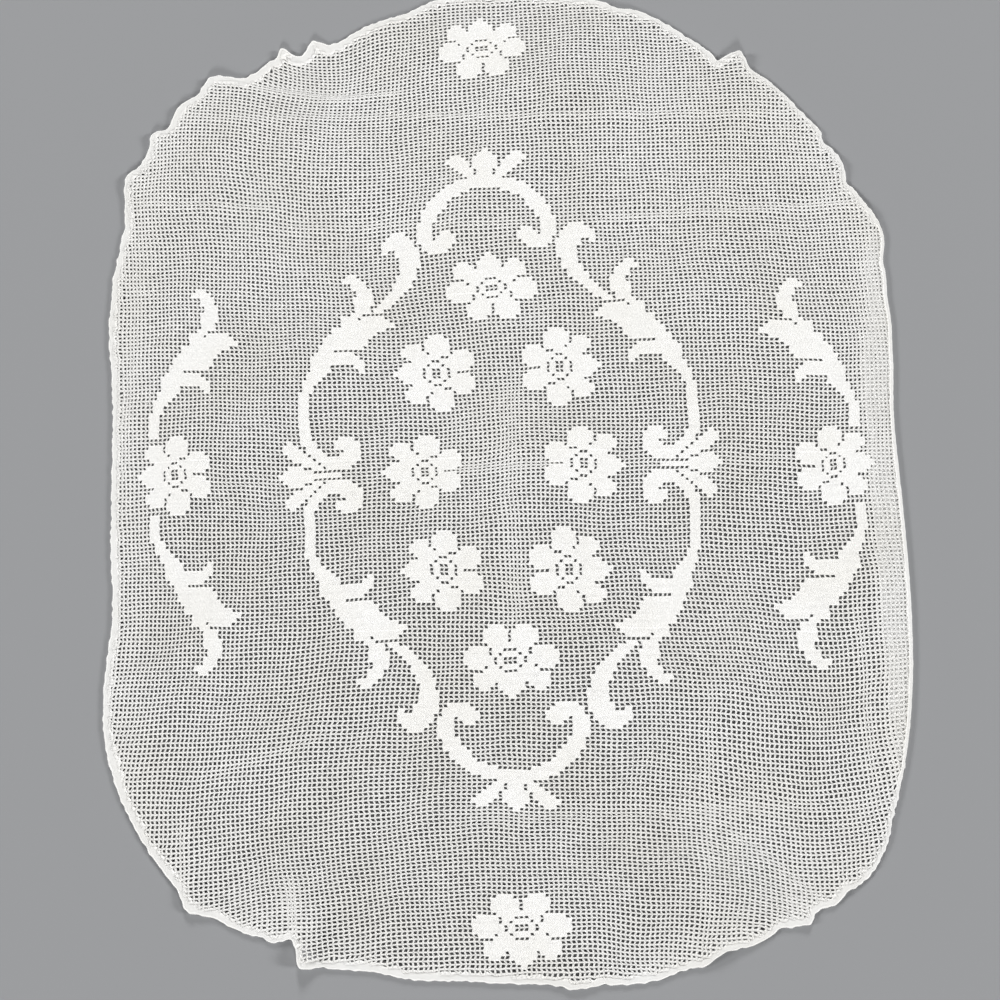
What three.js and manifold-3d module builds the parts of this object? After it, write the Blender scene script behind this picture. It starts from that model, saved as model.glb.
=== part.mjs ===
// A filet-crochet tablecloth lying flat: one cotton net with a narrow turned hem, a deeper strip
// turned under along its right side, small folds round its edge, and raised solid blocks that draw
// a ring of flowers inside a frame of scrolls and leaves.
import * as THREE from 'three';
import { mergeVertices } from 'three/addons/utils/BufferGeometryUtils.js';
import Module from 'manifold-3d';

// Driving dimensions, in millimetres and degrees. Turns run anticlockwise from +X.
const HALF_WIDTH_RIGHT = 438;
const HALF_WIDTH_LEFT = 430;
const HALF_LENGTH_TOP = 556;
const HALF_LENGTH_BOTTOM = 552;
const EDGE_LEAN = 0.042;
const NET_THICKNESS = 1.3;
const LAYER_GAP = 0.5;
const HEM_DEPTH = 7;
const EDGE_ROUND = 0.9;
const SLIT_END = 1.4;
const BLOCK_RISE = 0.8;

// Squareness of the four quarters of the outline, as superellipse powers.
const QUARTER_POWER = { topRight: 2.85, topLeft: 2.75, bottomLeft: 3.5, bottomRight: 3.3 };

// Broad swells of the outline: where, how far out or in, and how wide.
const EDGE_SWELLS = [
  { turn: -158, out: -3, spread: 6 },
  { turn: -142, out: 20, spread: 9 },
  { turn: -117, out: -8, spread: 6 },
  { turn: -106, out: -6, spread: 4 },
  { turn: -64, out: -14, spread: 7 },
  { turn: -49, out: 7, spread: 4 },
  { turn: 14, out: 6, spread: 6 },
  { turn: 29, out: 30, spread: 7 },
  { turn: 43, out: 12, spread: 6 },
  { turn: 62, out: -17, spread: 7 },
  { turn: 99, out: -9, spread: 4 },
  { turn: 111, out: -45, spread: 9.5 },
  { turn: 122, out: -18, spread: 3.5 },
  { turn: 144, out: 21, spread: 9 },
  { turn: 162, out: 10, spread: 7 },
];

// Folds and scallops of the edge: where, how far out, how wide, how high, and how far in they run.
const EDGE_FOLDS = [
  { turn: -125.4, out: 10, spread: 1.6, lift: 2.5, reach: 40 },
  { turn: -115, out: -16, spread: 1.4, lift: 0, reach: 20 },
  { turn: -113.4, out: 6, spread: 1.2, lift: 6, reach: 76 },
  { turn: -84.5, out: 5, spread: 2, lift: 1.5, reach: 30 },
  { turn: -69.2, out: -5, spread: 1.4, lift: 4, reach: 50 },
  { turn: -58.6, out: -5, spread: 0.9, lift: 2, reach: 30 },
  { turn: 33, out: 0, spread: 2.2, lift: 2, reach: 35 },
  { turn: 57.4, out: 14, spread: 1.4, lift: 4, reach: 40 },
  { turn: 59.4, out: -9, spread: 1, lift: 0, reach: 20 },
  { turn: 73.2, out: -6, spread: 1.5, lift: 1.5, reach: 30 },
  { turn: 112.9, out: 12, spread: 0.9, lift: 4, reach: 40 },
  { turn: 116.3, out: 16, spread: 0.9, lift: 4.5, reach: 40 },
  { turn: 125.5, out: 9, spread: 2, lift: 3, reach: 35 },
  { turn: 131.4, out: 6, spread: 1.8, lift: 2.5, reach: 35 },
  { turn: 136.3, out: 9, spread: 1.4, lift: 2.5, reach: 35 },
  { turn: 142.8, out: 7, spread: 1.8, lift: 2, reach: 35 },
];

// Depth of the strip turned under along the right side.
const TURNED_UNDER = [
  { turn: -43, depth: HEM_DEPTH },
  { turn: -36, depth: 20 },
  { turn: -26, depth: 35 },
  { turn: -13, depth: 30 },
  { turn: 0, depth: 32 },
  { turn: 14, depth: 37 },
  { turn: 24, depth: 24 },
  { turn: 30, depth: HEM_DEPTH },
];

// Corners of the flat middle that the cloth rests on, and how far the rest stands above it.
const REST_CORNERS = [
  { x: -300, y: 0 },
  { x: -160, y: -380 },
  { x: 160, y: -380 },
  { x: 300, y: 0 },
  { x: 160, y: 380 },
  { x: -160, y: 380 },
];
const REST_RISE = 0.3;

// Distances in from the turned-under edge where the top layer settles onto the surface.
const SETTLE_IN = 10;
const NEAR_RING_IN = 30;
const FAR_RING_IN = 70;

// Steps round the edge, the room kept clear of even steps beside a fold, and the least step.
const EDGE_STEP = 4;
const FOLD_ROOM = 1.5;
const LEAST_STEP = 0.3;

// The chart: cell pitch, the turn of the rows, and how the net draws in and bends at its sides.
const COLUMN = 5.2;
const ROW = 4.6;
const CHART_TURN = 2.1;
const CHART_DROP = -16;
const HALF_COLUMNS = 88;
const SIDE_DRAW = 0.04;
const ROW_STRETCH = 0.0002;
const BEND_START = 230;
const BEND_LENGTH = 140;
const BEND_RIGHT = -12;
const BEND_LEFT = 6;

// Scroll and leaf strokes of the upper right quarter of the chart, in cells from its middle: the
// places that the middle of each stroke passes, with half its width there.
const QUARTER_STROKES = {
  arch: [
    { column: -1, row: 71.5, half: 1.9 },
    { column: 6, row: 70, half: 1.9 },
    { column: 10.6, row: 67, half: 2 },
    { column: 13.4, row: 63.4, half: 2 },
    { column: 14.3, row: 59.8, half: 1.9 },
    { column: 12.8, row: 56.9, half: 1.8 },
    { column: 9.6, row: 56.6, half: 1.9 },
  ],
  crownSide: [
    { column: 3.4, row: 72.6, half: 0.9 },
    { column: 6.8, row: 75.6, half: 1.3 },
    { column: 9, row: 78, half: 1.5 },
  ],
  hookScroll: [
    { column: 24.2, row: 55.4, half: 0.8 },
    { column: 23.2, row: 57.6, half: 1.4 },
    { column: 21, row: 58.2, half: 1.7 },
    { column: 18.6, row: 56.2, half: 2.2 },
    { column: 18, row: 52.2, half: 2.4 },
    { column: 18.8, row: 48, half: 1.8 },
    { column: 20.6, row: 44.2, half: 1.4 },
    { column: 23.8, row: 40.4, half: 1.1 },
    { column: 27.5, row: 38.6, half: 0.8 },
  ],
  hookLeaf: [
    { column: 33, row: 46.4, half: 0.7 },
    { column: 31.6, row: 47.3, half: 1 },
    { column: 29.8, row: 46, half: 1.5 },
    { column: 29, row: 43.4, half: 1.9 },
    { column: 29.4, row: 41, half: 2.1 },
    { column: 31, row: 38.4, half: 1.8 },
    { column: 33, row: 36, half: 1.2 },
  ],
  bigLeaf: [
    { column: 38, row: 29.6, half: 2.2 },
    { column: 34.4, row: 31.8, half: 3.5 },
    { column: 30.6, row: 33.4, half: 3.8 },
    { column: 27, row: 34.6, half: 2.8 },
    { column: 24, row: 35.4, half: 1.6 },
    { column: 21.3, row: 36, half: 0.3 },
  ],
  stem: [
    { column: 33, row: 33.4, half: 2 },
    { column: 37.2, row: 27, half: 2.6 },
    { column: 39.4, row: 23, half: 2.2 },
    { column: 40.9, row: 19.4, half: 1.7 },
    { column: 41.5, row: 15, half: 1.5 },
    { column: 41.4, row: 8.6, half: 1.5 },
  ],
  lowLeaf: [
    { column: 38, row: 24.6, half: 1 },
    { column: 35.3, row: 26.2, half: 1.3 },
    { column: 32.8, row: 26.5, half: 1.4 },
    { column: 30.6, row: 25.7, half: 1.1 },
    { column: 29, row: 23.8, half: 0.4 },
  ],
  curl: [
    { column: 41.4, row: 9, half: 1.5 },
    { column: 39.7, row: 5.4, half: 1.4 },
    { column: 37.3, row: 3.3, half: 1.2 },
    { column: 34.3, row: 2.6, half: 1.3 },
    { column: 31.8, row: 3.8, half: 1.6 },
    { column: 30.9, row: 5.9, half: 1.7 },
    { column: 32.6, row: 7.2, half: 1.6 },
  ],
  palmetteSide: [
    { column: 47, row: 7, half: 0.4 },
    { column: 44.3, row: 4.9, half: 1.5 },
    { column: 41.3, row: 2.6, half: 1.2 },
    { column: 38.2, row: 1.3, half: 0.5 },
  ],
  outerHookLeaf: [
    { column: 67.4, row: 42.8, half: 0.7 },
    { column: 65.8, row: 43.5, half: 1.1 },
    { column: 64.1, row: 42, half: 1.6 },
    { column: 63.4, row: 39.6, half: 1.9 },
    { column: 63.9, row: 36.4, half: 1.8 },
    { column: 66, row: 32.8, half: 1.8 },
  ],
  outerBigLeaf: [
    { column: 72.2, row: 25.4, half: 2 },
    { column: 69, row: 28.2, half: 3.3 },
    { column: 65.6, row: 30, half: 3.4 },
    { column: 61.6, row: 31.5, half: 2.2 },
    { column: 57.8, row: 32.2, half: 0.3 },
  ],
  outerStem: [
    { column: 67.6, row: 31.6, half: 2 },
    { column: 72, row: 24, half: 2.4 },
    { column: 74.2, row: 19, half: 1.8 },
    { column: 75.6, row: 14, half: 1.5 },
    { column: 76, row: 8.4, half: 1.3 },
  ],
  outerLowLeaf: [
    { column: 72.6, row: 20.6, half: 1 },
    { column: 69.6, row: 22.3, half: 1.3 },
    { column: 66.9, row: 22.5, half: 1.3 },
    { column: 64.6, row: 21.3, half: 1 },
    { column: 63.5, row: 19.2, half: 0.4 },
  ],
};

// Strokes that lie along an axis of the chart.
const CROWN_MIDDLE = [
  { column: 0, row: 72, half: 1.6 },
  { column: 0, row: 76.6, half: 2.5 },
  { column: 0, row: 79, half: 1.9 },
  { column: 0, row: 80.3, half: 0.6 },
];
const PALMETTE_MIDDLE = [
  { column: 47.2, row: 0, half: 0.3 },
  { column: 45, row: 0, half: 1.7 },
  { column: 42, row: 0, half: 1.1 },
  { column: 39, row: 0, half: 0.6 },
  { column: 33.5, row: 0, half: 0.5 },
];
const STROKE_STEPS = 8;

// Flowers: the cell at the heart, and the way the lone petal points, away from the cloth's middle.
const FLOWERS = [
  { column: 0, row: 107, facing: 90 },
  { column: 0, row: -107, facing: -90 },
  { column: 71, row: 0, facing: 0 },
  { column: -71, row: 0, facing: 180 },
  { column: 0, row: 45, facing: 90 },
  { column: 0, row: -45, facing: -90 },
  { column: 13, row: 24, facing: 0 },
  { column: 13, row: -24, facing: 0 },
  { column: -13, row: 24, facing: 180 },
  { column: -13, row: -24, facing: 180 },
  { column: 16.5, row: 0, facing: 0 },
  { column: -16.5, row: 0, facing: 180 },
];
const PETALS = 7;
const POINTS_PER_PETAL = 4;
const PETAL_TIP = 9.2;
const PETAL_NOTCH = 6.4;
const HEART_OUTER = 3.4;
const HEART_INNER = 2.2;
const HEART_POINTS = 10;

const radians = THREE.MathUtils.degToRad;
const ease = (value) => THREE.MathUtils.smoothstep(value, 0, 1);

// How much of a swell or fold is felt at a turn, from 1 at its middle down to 0.
function hump(turn, row) {
  const away = THREE.MathUtils.euclideanModulo(turn - row.turn + 180, 360) - 180;
  return Math.exp(-((away / row.spread) ** 2));
}

// Distance from the middle to the edge, before the lean.
function edgeReach(turn) {
  const across = Math.cos(radians(turn));
  const along = Math.sin(radians(turn));
  const halfWidth = across >= 0 ? HALF_WIDTH_RIGHT : HALF_WIDTH_LEFT;
  const halfLength = along >= 0 ? HALF_LENGTH_TOP : HALF_LENGTH_BOTTOM;
  const quarter = (along >= 0 ? 'top' : 'bottom') + (across >= 0 ? 'Right' : 'Left');
  const power = QUARTER_POWER[quarter];
  const sum = Math.abs(across / halfWidth) ** power + Math.abs(along / halfLength) ** power;
  const bumps = [...EDGE_SWELLS, ...EDGE_FOLDS];
  return sum ** (-1 / power) + bumps.reduce((total, row) => total + row.out * hump(turn, row), 0);
}

function turnedDepth(turn) {
  const after = TURNED_UNDER.findIndex((row) => row.turn > turn);
  if (after <= 0) {
    return HEM_DEPTH;
  }
  const before = TURNED_UNDER[after - 1];
  const share = (turn - before.turn) / (TURNED_UNDER[after].turn - before.turn);
  return THREE.MathUtils.lerp(before.depth, TURNED_UNDER[after].depth, share);
}

function foldLift(turn, inset) {
  const lifts = EDGE_FOLDS.map((row) => row.lift * hump(turn, row) * (1 - ease(inset / row.reach)));
  return Math.max(0, ...lifts);
}

// A point of the sheet, from its turn, its distance in from the edge and its height off the fold.
function sheetPoint(turn, inset, height) {
  const reach = edgeReach(turn) - inset;
  const y = reach * Math.sin(radians(turn));
  const x = reach * Math.cos(radians(turn)) - EDGE_LEAN * y;
  return [x, y, height + REST_RISE + foldLift(turn, inset)];
}

// Turns at even steps, closer together at each fold.
function edgeTurns() {
  const turns = [];
  for (let turn = -180; turn < 180; turn += EDGE_STEP) {
    if (!EDGE_FOLDS.some((row) => Math.abs(turn - row.turn) < row.spread * FOLD_ROOM)) {
      turns.push(turn);
    }
  }
  for (const row of EDGE_FOLDS) {
    turns.push(row.turn - row.spread, row.turn, row.turn + row.spread);
  }
  turns.sort((a, b) => a - b);
  return turns.filter((turn, index) => index === 0 || turn - turns[index - 1] > LEAST_STEP);
}

// The top of the cross-section, from the middle of the cloth out to its edge.
function topSection(turn) {
  const under = turnedDepth(turn);
  const upperTop = 2 * NET_THICKNESS + LAYER_GAP;
  return [
    [under + FAR_RING_IN, NET_THICKNESS],
    [under + NEAR_RING_IN, NET_THICKNESS],
    [under + SETTLE_IN, NET_THICKNESS],
    [under, upperTop],
    [EDGE_ROUND, upperTop],
  ];
}

// The whole cross-section: the top, round the fold, the strip beneath and back under the top layer.
function clothSection(turn) {
  const under = turnedDepth(turn);
  const upperBottom = NET_THICKNESS + LAYER_GAP;
  return [
    ...topSection(turn),
    [0, upperBottom + NET_THICKNESS - EDGE_ROUND],
    [0, EDGE_ROUND],
    [EDGE_ROUND, 0],
    [under, 0],
    [under, NET_THICKNESS],
    [SLIT_END, NET_THICKNESS],
    [SLIT_END, upperBottom],
    [under, upperBottom],
    [under + SETTLE_IN, 0],
    [under + NEAR_RING_IN, 0],
    [under + FAR_RING_IN, 0],
  ];
}

// A skin over the top layer, from half its thickness up to the height of the raised blocks.
function skinSection(turn) {
  const top = topSection(turn);
  const raised = top.map(([inset, height]) => [inset, height + BLOCK_RISE]);
  const sunk = top.map(([inset, height]) => [inset, height - NET_THICKNESS / 2]);
  return [...raised, ...sunk.reverse()];
}

// The corner of the flat middle that is nearest in turn.
function nearestCorner(turn) {
  const nearness = REST_CORNERS.map(({ x, y }) => Math.cos(radians(turn) - Math.atan2(y, x)));
  return nearness.indexOf(Math.max(...nearness));
}

// A closed sheet swept round the edge, and closed over the flat middle above and below.
function sweptSheet(section) {
  const turns = edgeTurns();
  const loops = turns.map((turn) => section(turn).map((place) => sheetPoint(turn, ...place)));
  const size = loops[0].length;
  const points = loops.flat(2);
  const heights = [section(0)[0][1], section(0)[size - 1][1]];
  for (const height of heights) {
    REST_CORNERS.forEach(({ x, y }) => points.push(x, y, height));
  }
  const topCorner = turns.length * size;
  const bottomCorner = topCorner + REST_CORNERS.length;
  const faces = [];
  turns.forEach((turn, index) => {
    const nextIndex = (index + 1) % turns.length;
    const here = index * size;
    const next = nextIndex * size;
    const corner = nearestCorner(turn);
    const nextCorner = nearestCorner(turns[nextIndex]);
    faces.push(topCorner + corner, here, next);
    for (let k = 0; k < size - 1; k += 1) {
      faces.push(here + k, here + k + 1, next + k + 1);
      faces.push(here + k, next + k + 1, next + k);
    }
    faces.push(here + size - 1, bottomCorner + corner, next + size - 1);
    if (corner !== nextCorner) {
      faces.push(topCorner + corner, next, topCorner + nextCorner);
      faces.push(bottomCorner + corner, bottomCorner + nextCorner, next + size - 1);
    }
  });
  for (let k = 1; k < REST_CORNERS.length - 1; k += 1) {
    faces.push(topCorner, topCorner + k, topCorner + k + 1);
    faces.push(bottomCorner, bottomCorner + k + 1, bottomCorner + k);
  }
  const geometry = new THREE.BufferGeometry();
  geometry.setAttribute('position', new THREE.Float32BufferAttribute(points, 3));
  geometry.setIndex(faces);
  return geometry;
}

// The place of a chart cell on the cloth.
function chartPoint([column, row]) {
  const u = COLUMN * column * (1 - SIDE_DRAW * (column / HALF_COLUMNS) ** 2);
  const bendRight = BEND_RIGHT * ease((u - BEND_START) / BEND_LENGTH);
  const bendLeft = BEND_LEFT * ease((-u - BEND_START) / BEND_LENGTH);
  const v = ROW * row * (1 + ROW_STRETCH * row) + bendRight + bendLeft;
  const point = new THREE.Vector2(u, v).rotateAround(new THREE.Vector2(), radians(CHART_TURN));
  return point.add(new THREE.Vector2(0, CHART_DROP));
}

// The outline of a stroke, as chart cells either side of its middle line.
function strokeOutline(places) {
  const line = new THREE.CatmullRomCurve3(
    places.map(({ column, row, half }) => new THREE.Vector3(column, row, half)),
  );
  const left = [];
  const right = [];
  for (let k = 0; k <= STROKE_STEPS; k += 1) {
    const middle = line.getPoint(k / STROKE_STEPS);
    const along = line.getTangent(k / STROKE_STEPS).setZ(0).normalize();
    left.push([middle.x - along.y * middle.z, middle.y + along.x * middle.z]);
    right.unshift([middle.x + along.y * middle.z, middle.y - along.x * middle.z]);
  }
  return [...left, ...right];
}

function mirrored(places, sideways, upright) {
  return places.map(({ column, row, half }) => ({ column: column * sideways, row: row * upright, half }));
}

// A closed outline round a flower's heart, with its radius given for each angle.
function flowerOutline(flower, radiusAt, count) {
  return Array.from({ length: count }, (_, k) => {
    const angle = (360 * k) / count;
    const turn = radians(angle + flower.facing);
    const radius = radiusAt(angle);
    return [flower.column + radius * Math.cos(turn), flower.row + radius * Math.sin(turn)];
  });
}

function petalRadius(angle) {
  const wave = Math.abs(Math.cos(radians((angle * PETALS) / 2)));
  return PETAL_NOTCH + (PETAL_TIP - PETAL_NOTCH) * Math.sqrt(wave);
}

const wasm = await Module();
wasm.setup();

function solidOf(geometry) {
  geometry.deleteAttribute('normal');
  geometry.deleteAttribute('uv');
  const merged = mergeVertices(geometry);
  const vertProperties = new Float32Array(merged.attributes.position.array);
  const triVerts = new Uint32Array(merged.index.array);
  return new wasm.Manifold(new wasm.Mesh({ numProp: 3, vertProperties, triVerts }));
}

// An upright prism over a chart outline, tall enough to pass right through the cloth.
const PRISM_BOTTOM = -1;
const PRISM_HEIGHT = 14;

function prism(outline) {
  const shape = new THREE.Shape(outline.map(chartPoint));
  const geometry = new THREE.ExtrudeGeometry(shape, { depth: PRISM_HEIGHT, bevelEnabled: false });
  geometry.translate(0, 0, PRISM_BOTTOM);
  return solidOf(geometry);
}

function strokePrisms() {
  const prisms = [];
  for (const upright of [1, -1]) {
    for (const sideways of [1, -1]) {
      for (const places of Object.values(QUARTER_STROKES)) {
        prisms.push(prism(strokeOutline(mirrored(places, sideways, upright))));
      }
    }
    prisms.push(prism(strokeOutline(mirrored(CROWN_MIDDLE, 1, upright))));
    prisms.push(prism(strokeOutline(mirrored(PALMETTE_MIDDLE, upright, 1))));
  }
  return prisms;
}

// A flower's petals, with an open ring round its heart.
function flowerPrism(flower) {
  const petals = prism(flowerOutline(flower, petalRadius, PETALS * POINTS_PER_PETAL));
  const ring = prism(flowerOutline(flower, () => HEART_OUTER, HEART_POINTS));
  const heart = prism(flowerOutline(flower, () => HEART_INNER, HEART_POINTS));
  return petals.subtract(ring).add(heart);
}

const prisms = [...strokePrisms(), ...FLOWERS.map(flowerPrism)];
const chartPrisms = prisms.reduce((joined, one) => joined.add(one));
const blocks = chartPrisms.intersect(solidOf(sweptSheet(skinSection)));
const clothMesh = solidOf(sweptSheet(clothSection)).add(blocks).getMesh();

const clothGeometry = new THREE.BufferGeometry();
clothGeometry.setAttribute('position', new THREE.Float32BufferAttribute(clothMesh.vertProperties, 3));
clothGeometry.setIndex(Array.from(clothMesh.triVerts));
clothGeometry.computeVertexNormals();
clothGeometry.computeBoundingBox();

const cotton = new THREE.MeshStandardMaterial({ color: 0xf2f0ea, roughness: 0.92, metalness: 0 });
const cloth = new THREE.Mesh(clothGeometry, cotton);
cloth.name = 'cloth';
const middle = clothGeometry.boundingBox.getCenter(new THREE.Vector3());
cloth.position.set(-middle.x, -middle.y, -clothGeometry.boundingBox.min.z);

const tablecloth = new THREE.Group();
tablecloth.add(cloth);

export default tablecloth;
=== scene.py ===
import math

import bpy
import numpy as np
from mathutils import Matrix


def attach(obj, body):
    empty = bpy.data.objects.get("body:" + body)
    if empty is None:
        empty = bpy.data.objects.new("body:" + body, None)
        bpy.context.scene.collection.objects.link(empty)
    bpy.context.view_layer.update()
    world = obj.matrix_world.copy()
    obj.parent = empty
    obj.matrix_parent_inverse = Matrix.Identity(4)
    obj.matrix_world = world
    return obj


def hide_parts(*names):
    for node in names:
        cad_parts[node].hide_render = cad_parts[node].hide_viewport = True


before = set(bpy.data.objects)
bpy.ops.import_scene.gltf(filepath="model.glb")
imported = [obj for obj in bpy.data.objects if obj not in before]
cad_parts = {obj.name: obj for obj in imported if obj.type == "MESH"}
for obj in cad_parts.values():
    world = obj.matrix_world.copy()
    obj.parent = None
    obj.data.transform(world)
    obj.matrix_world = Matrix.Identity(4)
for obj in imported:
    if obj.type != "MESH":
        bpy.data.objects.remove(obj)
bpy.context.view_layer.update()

# The net: cotton thread crocheted in rows, each a chain with one upright stitch at every cell, and
# two more stitches in each filled cell, so that the filled cells draw flowers, leaves and scrolls.
# It lies flat, a little higher where it passes over its own hem, and its rows wander as handwork does.
MM = 0.001

# Its outline as it lies, in millimetres, with turns round its middle in degrees from the right side.
HALF_WIDTH_RIGHT, HALF_WIDTH_LEFT = 438.0, 430.0
HALF_LENGTH_TOP, HALF_LENGTH_BOTTOM = 556.0, 552.0
POWER_TOP_RIGHT, POWER_TOP_LEFT = 2.85, 2.75
POWER_BOTTOM_LEFT, POWER_BOTTOM_RIGHT = 3.5, 3.3
EDGE_LEAN = 0.042
OUTLINE_MIDDLE = np.array([-0.34, 0.49])
HEM_DEPTH, HEM_WIDTH = 7.0, 9.0
EDGE_SWELLS = [
    dict(turn=-158, out=-3, spread=6),
    dict(turn=-149, out=3, spread=5),
    dict(turn=-142, out=20, spread=9),
    dict(turn=-131, out=4, spread=6),
    dict(turn=-117, out=-8, spread=6),
    dict(turn=-106, out=-7, spread=4),
    dict(turn=-97, out=-3, spread=4),
    dict(turn=-79, out=2, spread=3),
    dict(turn=-73, out=-4, spread=2),
    dict(turn=-64, out=-14, spread=7),
    dict(turn=-49, out=7, spread=4),
    dict(turn=14, out=8, spread=6),
    dict(turn=19, out=6, spread=3.5),
    dict(turn=26.5, out=-6, spread=1.8),
    dict(turn=29, out=30, spread=7),
    dict(turn=43, out=12, spread=6),
    dict(turn=47, out=-3, spread=3),
    dict(turn=62, out=-17, spread=7),
    dict(turn=100, out=-11, spread=4),
    dict(turn=111, out=-45, spread=9.5),
    dict(turn=122, out=-18, spread=3.5),
    dict(turn=144, out=21, spread=9),
    dict(turn=148, out=-5, spread=2),
    dict(turn=156, out=4, spread=3.5),
    dict(turn=162, out=10, spread=7),
]
EDGE_FOLDS = [
    dict(turn=-125.4, out=10, spread=1.6, lift=2.5, reach=40),
    dict(turn=-117.5, out=-4, spread=1.2, lift=0, reach=20),
    dict(turn=-114.7, out=-15, spread=1.2, lift=0, reach=20),
    dict(turn=-113, out=7, spread=1.3, lift=6, reach=76),
    dict(turn=-84.5, out=5, spread=2, lift=1.5, reach=30),
    dict(turn=-68.4, out=-7, spread=1.8, lift=3, reach=50),
    dict(turn=-62, out=-4, spread=1.1, lift=0, reach=20),
    dict(turn=-59.3, out=3, spread=0.8, lift=1.5, reach=30),
    dict(turn=-57.4, out=-5, spread=1, lift=0, reach=20),
    dict(turn=-54, out=-3, spread=0.8, lift=1, reach=25),
    dict(turn=33, out=0, spread=2.2, lift=2, reach=35),
    dict(turn=37.3, out=-4, spread=0.7, lift=0, reach=20),
    dict(turn=39.6, out=2, spread=1.2, lift=1.5, reach=30),
    dict(turn=43, out=-6, spread=1, lift=0, reach=20),
    dict(turn=57.7, out=12.5, spread=1.3, lift=4, reach=40),
    dict(turn=59.5, out=-9, spread=0.8, lift=0, reach=20),
    dict(turn=61, out=-3, spread=0.9, lift=0, reach=20),
    dict(turn=73.2, out=-6, spread=1.5, lift=1.5, reach=30),
    dict(turn=112.2, out=10, spread=1.1, lift=2.5, reach=40),
    dict(turn=114.7, out=-4.5, spread=0.8, lift=0, reach=20),
    dict(turn=116.3, out=9, spread=0.7, lift=2.5, reach=40),
    dict(turn=125.5, out=9, spread=2, lift=3, reach=35),
    dict(turn=131.4, out=6, spread=1.8, lift=2.5, reach=35),
    dict(turn=136.3, out=9, spread=1.4, lift=2.5, reach=35),
    dict(turn=142.8, out=7, spread=1.8, lift=2, reach=35),
]
TURNED_UNDER = [
    dict(turn=-43, depth=HEM_DEPTH),
    dict(turn=-36, depth=24),
    dict(turn=-32, depth=29),
    dict(turn=-25, depth=35),
    dict(turn=-7, depth=33),
    dict(turn=3, depth=30),
    dict(turn=14, depth=37),
    dict(turn=21, depth=27),
    dict(turn=29, depth=24),
    dict(turn=31.5, depth=HEM_DEPTH),
]


def ease(value):
    value = np.clip(value, 0, 1)
    return value * value * (3 - 2 * value)


def hump(turn, row):
    away = (turn - row["turn"] + 180) % 360 - 180
    return np.exp(-((away / row["spread"]) ** 2))


def edge_reach(turn):
    across, along = np.cos(np.radians(turn)), np.sin(np.radians(turn))
    half_width = np.where(across >= 0, HALF_WIDTH_RIGHT, HALF_WIDTH_LEFT)
    half_length = np.where(along >= 0, HALF_LENGTH_TOP, HALF_LENGTH_BOTTOM)
    top_power = np.where(across >= 0, POWER_TOP_RIGHT, POWER_TOP_LEFT)
    bottom_power = np.where(across >= 0, POWER_BOTTOM_RIGHT, POWER_BOTTOM_LEFT)
    power = np.where(along >= 0, top_power, bottom_power)
    total = np.abs(across / half_width) ** power + np.abs(along / half_length) ** power
    return total ** (-1 / power) + sum(row["out"] * hump(turn, row) for row in EDGE_SWELLS + EDGE_FOLDS)


def turned_depth(turn):
    turns = [row["turn"] for row in TURNED_UNDER]
    return np.interp(turn, turns, [row["depth"] for row in TURNED_UNDER])


def turned_share(turn):
    """One where the edge is turned under, and nought where the hem itself is the edge."""
    return ease((turned_depth(turn) - HEM_DEPTH) / HEM_WIDTH)


def about_middle(points):
    """Places about the outline's middle, with its lean taken out, and their turns round it."""
    x, y = np.moveaxis(points - OUTLINE_MIDDLE, -1, 0)
    x = x + EDGE_LEAN * y
    return x, y, np.degrees(np.arctan2(y, x))


def place_in_outline(points):
    """Turn round the cloth's middle, and distance in from its edge, of points on the surface."""
    x, y, turn = about_middle(points)
    return turn, edge_reach(turn) - np.hypot(x, y)


def fold_lift(turn, inset):
    lifts = [row["lift"] * hump(turn, row) * (1 - ease(inset / row["reach"])) for row in EDGE_FOLDS]
    return np.max(lifts, axis=0)


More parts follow.
